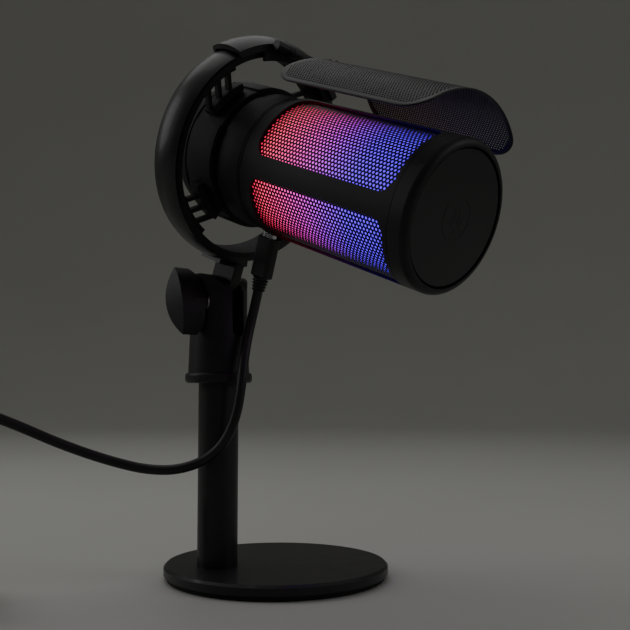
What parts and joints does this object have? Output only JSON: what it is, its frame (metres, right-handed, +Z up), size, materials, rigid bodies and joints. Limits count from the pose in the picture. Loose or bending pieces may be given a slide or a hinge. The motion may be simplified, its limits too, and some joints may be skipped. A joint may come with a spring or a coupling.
{
  "type": "desktop microphone",
  "caption": "Cylindrical USB microphone in a ring shock mount with an arched pop filter, tilting on a post with a round weighted base.",
  "frame": {"origin": "centre of the round base's underside, on the desk", "axes": "+Z up, +X the level direction the microphone points along, +Y along the tilt bolt, away from the wing knob"},
  "size_m": [0.2474, 0.2469, 0.2582],
  "materials": {
    "base_metal": "satin",
    "ring_metal": "satin",
    "fork_metal": "satin",
    "clip_metal": "satin",
    "filter_metal": "satin",
    "mesh_metal": "satin",
    "body_plastic": "matte",
    "cap_plastic": "satin",
    "knob_plastic": "satin",
    "disc_plastic": "satin",
    "diffuser_plastic": "frosted",
    "core_plastic": "matte",
    "inner_plastic": "matte",
    "soft_rubber": "matte",
    "pad_rubber": "matte",
    "cable_rubber": "satin",
    "plug_plastic": "satin",
    "tongue_plastic": "matte",
    "steel": "brushed",
    "nickel": "polished",
    "black_steel": "satin",
    "brass": "machined",
    "board": "satin",
    "chip": "matte",
    "led": "gloss"
  },
  "bodies": {
    "stand": {"base_plate": "base_metal", "base_pad": "pad_rubber", "base_screw": "steel", "post_tube": "base_metal", "post_foot_nut": "steel", "post_stud": "steel"},
    "swivel": {"swivel_fork": "fork_metal", "swivel_collar": "fork_metal", "thread_insert": "brass", "tilt_nut": "steel", "friction_washers": "inner_plastic", "knob_washer": "steel", "cable_tube": "cable_rubber", "cable_coil": "cable_rubber", "cable_tie": "plug_plastic", "cable_tail": "cable_rubber", "usb_a_relief": "cable_rubber", "usb_a_overmould": "plug_plastic", "usb_a_shell": "nickel", "usb_a_tongue": "tongue_plastic"},
    "tilt_knob": {"tilt_bolt": "steel", "wing_knob": "knob_plastic"},
    "ring": {"shock_ring": "ring_metal", "ring_liner": "soft_rubber", "ring_stem": "ring_metal", "stem_screws": "steel", "suspension_arm_1": "soft_rubber", "suspension_arm_2": "soft_rubber", "suspension_arm_3": "soft_rubber", "suspension_arm_4": "soft_rubber"},
    "microphone": {"suspension_hub": "soft_rubber", "rear_housing": "body_plastic", "rear_cap": "body_plastic", "body_cage": "body_plastic", "front_cap": "cap_plastic", "front_disc": "disc_plastic", "window_mesh": "mesh_metal", "light_diffuser": "diffuser_plastic", "light_core": "core_plastic", "led_flex_board": "board", "led_chips": "led", "capsule_holder": "inner_plastic", "mic_capsule": "nickel", "main_board": "board", "board_components": "chip", "touch_board": "board", "cap_screws": "steel", "cap_screw_ring": "inner_plastic", "usb_c_socket": "nickel", "usb_c_shell": "nickel", "usb_c_overmould": "plug_plastic", "plug_relief": "cable_rubber"},
    "clip": {"crown_clip": "clip_metal", "hinge_pin": "black_steel"},
    "filter": {"pop_filter": "filter_metal", "pop_filter_straps": "filter_metal", "strap_rivets": "black_steel"}
  },
  "joints": [
    {"name": "swivel_pan", "type": "hinge", "parent": "stand", "child": "swivel", "pos_m": [-0.0146, -0.0259, 0.105], "axis": [0, 0, 1], "range_deg": [-170, 170]},
    {"name": "tilt", "type": "hinge", "parent": "swivel", "child": "ring", "pos_m": [-0.0146, -0.0259, 0.134], "axis": [0, 1, 0], "range_deg": [-75, 35], "deforming": ["cable_tube"]},
    {"name": "knob_turn", "type": "hinge", "parent": "swivel", "child": "tilt_knob", "pos_m": [-0.0146, -0.0459, 0.134], "axis": [0, -1, 0], "range_deg": [0, 270]},
    {"name": "shock_float", "type": "slide", "parent": "ring", "child": "microphone", "axis": [0.3607, 0, 0.9327], "range_m": [-0.001, 0.001], "stiffness_N_per_m": 4000, "springref_m": 0.0009, "deforming": ["suspension_arm_1", "suspension_arm_2", "suspension_arm_3", "suspension_arm_4"]},
    {"name": "clip_slide", "type": "hinge", "parent": "ring", "child": "clip", "pos_m": [0.00989, -0.0259, 0.20392], "axis": [0.9327, 0, -0.3607], "range_deg": [-105, 105]},
    {"name": "pop_filter_hinge", "type": "hinge", "parent": "clip", "child": "filter", "pos_m": [0.0371, -0.02257, 0.2471], "axis": [0.0239, -0.9978, 0.0618], "range_deg": [-6, 90]}
  ]
}
